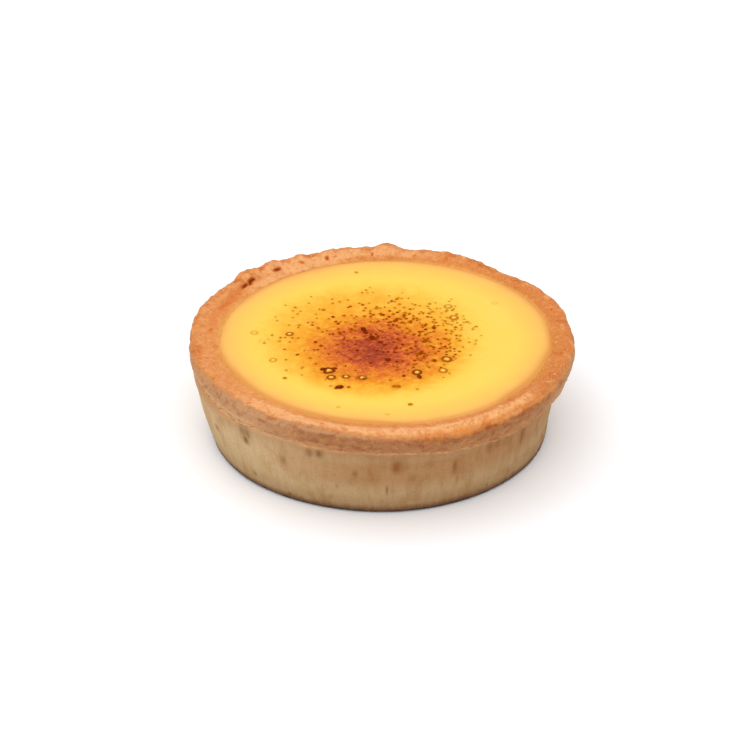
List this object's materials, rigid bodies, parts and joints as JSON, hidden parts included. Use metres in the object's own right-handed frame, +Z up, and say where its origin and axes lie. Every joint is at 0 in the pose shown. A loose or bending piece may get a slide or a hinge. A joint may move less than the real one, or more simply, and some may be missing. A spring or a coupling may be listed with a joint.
{
  "type": "lemon tartlet",
  "caption": "Round individual tartlet: a shortcrust case with a thick uneven collar, filled to the brim with glossy lemon curd that is scorched dark in the middle.",
  "frame": {"origin": "on the resting surface, under the middle of the collar's outline", "axes": "+Z up; -Y towards the side that the usual view shows, +X to its right"},
  "size_m": [0.09, 0.0903, 0.0255],
  "materials": {
    "baked_pastry": "baked shortcrust: pale matt wall, browner collar with a slight egg-wash sheen",
    "set_curd": "smooth glossy set lemon curd, scorched orange and dark brown in the middle"
  },
  "bodies": {
    "root": {"crust": "baked_pastry", "lemon_filling": "set_curd"}
  },
  "joints": []
}
